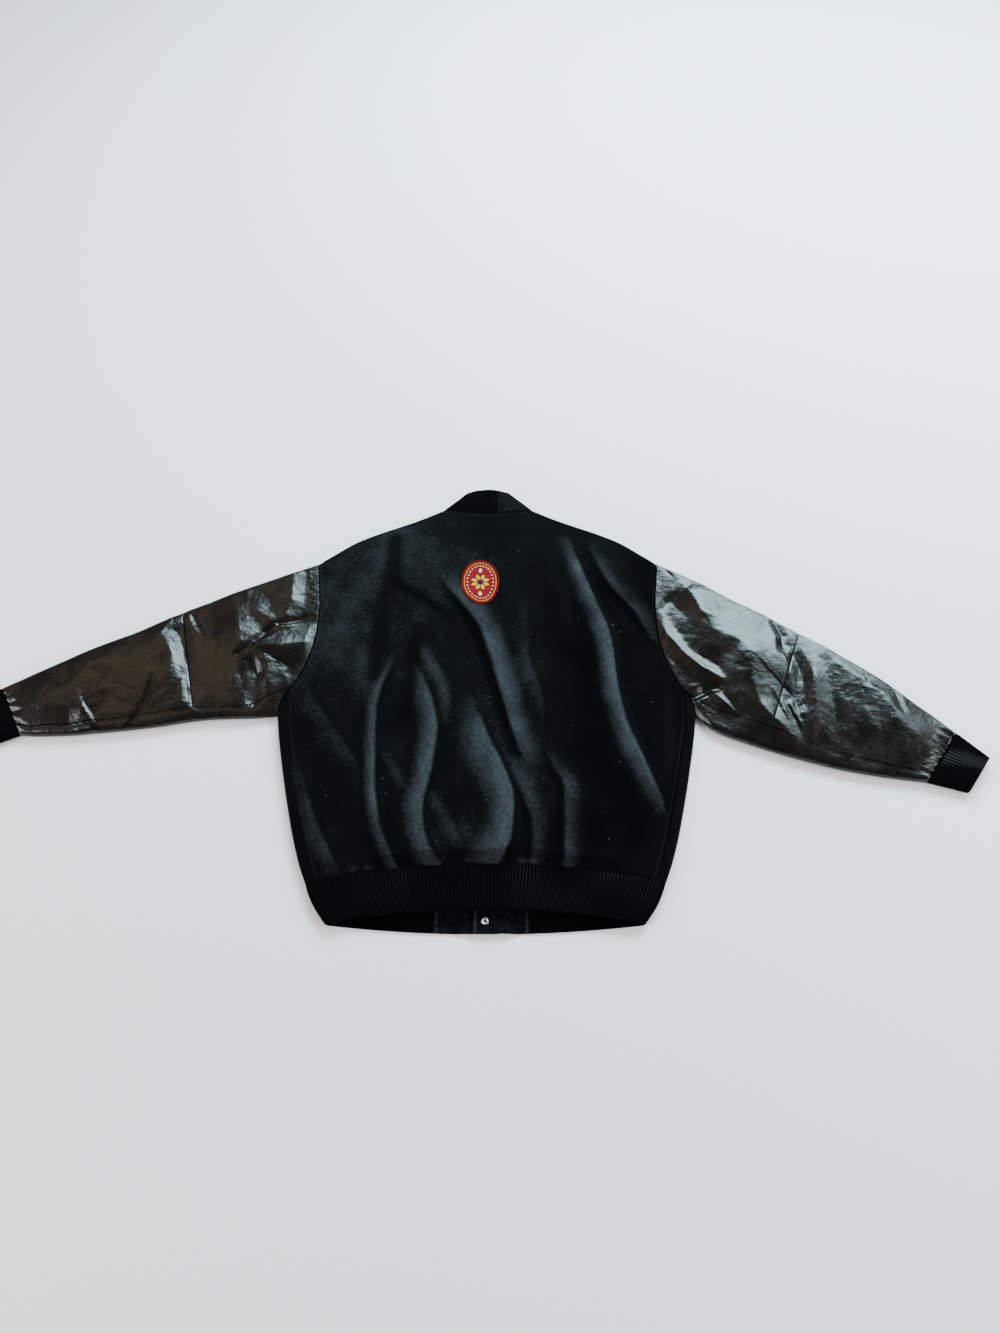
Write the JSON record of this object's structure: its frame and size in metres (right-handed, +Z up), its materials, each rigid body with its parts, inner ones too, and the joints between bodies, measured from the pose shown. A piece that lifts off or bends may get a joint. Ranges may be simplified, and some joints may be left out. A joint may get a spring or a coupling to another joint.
{
  "type": "varsity jacket",
  "caption": "Varsity jacket laid flat face down: wool body, leather sleeves, ribbed collar, cuffs and hem, snap front and an oval patch on the back.",
  "frame": {"origin": "middle of the garment's bounding box, on the surface it lies on", "axes": "+X towards the end of the wearer's right sleeve, +Y from the hem towards the collar, +Z up out of the back, which faces up"},
  "size_m": [1.592, 0.785, 0.0328],
  "materials": {
    "wool": "matte brushed wool",
    "leather": "glossy grained leather",
    "knit": "ribbed knit",
    "snap_metal": "polished metal",
    "patch": "embroidered twill"
  },
  "bodies": {
    "root": {"back": "wool", "front_left": "wool", "front_right": "wool", "sleeve_upper_left": "leather", "sleeve_forearm_left": "leather", "sleeve_under_left": "leather", "sleeve_upper_right": "leather", "sleeve_forearm_right": "leather", "sleeve_under_right": "leather", "cuff_left": "knit", "cuff_right": "knit", "hem_rib": "knit", "collar": "knit", "tab_left": "wool", "tab_right": "wool", "patch": "patch", "snap_cap_1": "snap_metal", "snap_ring_1": "snap_metal", "snap_cap_2": "snap_metal", "snap_ring_2": "snap_metal", "snap_cap_3": "snap_metal", "snap_ring_3": "snap_metal", "snap_cap_4": "snap_metal", "snap_ring_4": "snap_metal", "snap_cap_5": "snap_metal", "snap_ring_5": "snap_metal", "snap_cap_6": "snap_metal", "snap_ring_6": "snap_metal", "snap_cap_7": "snap_metal", "snap_ring_7": "snap_metal"}
  },
  "joints": []
}
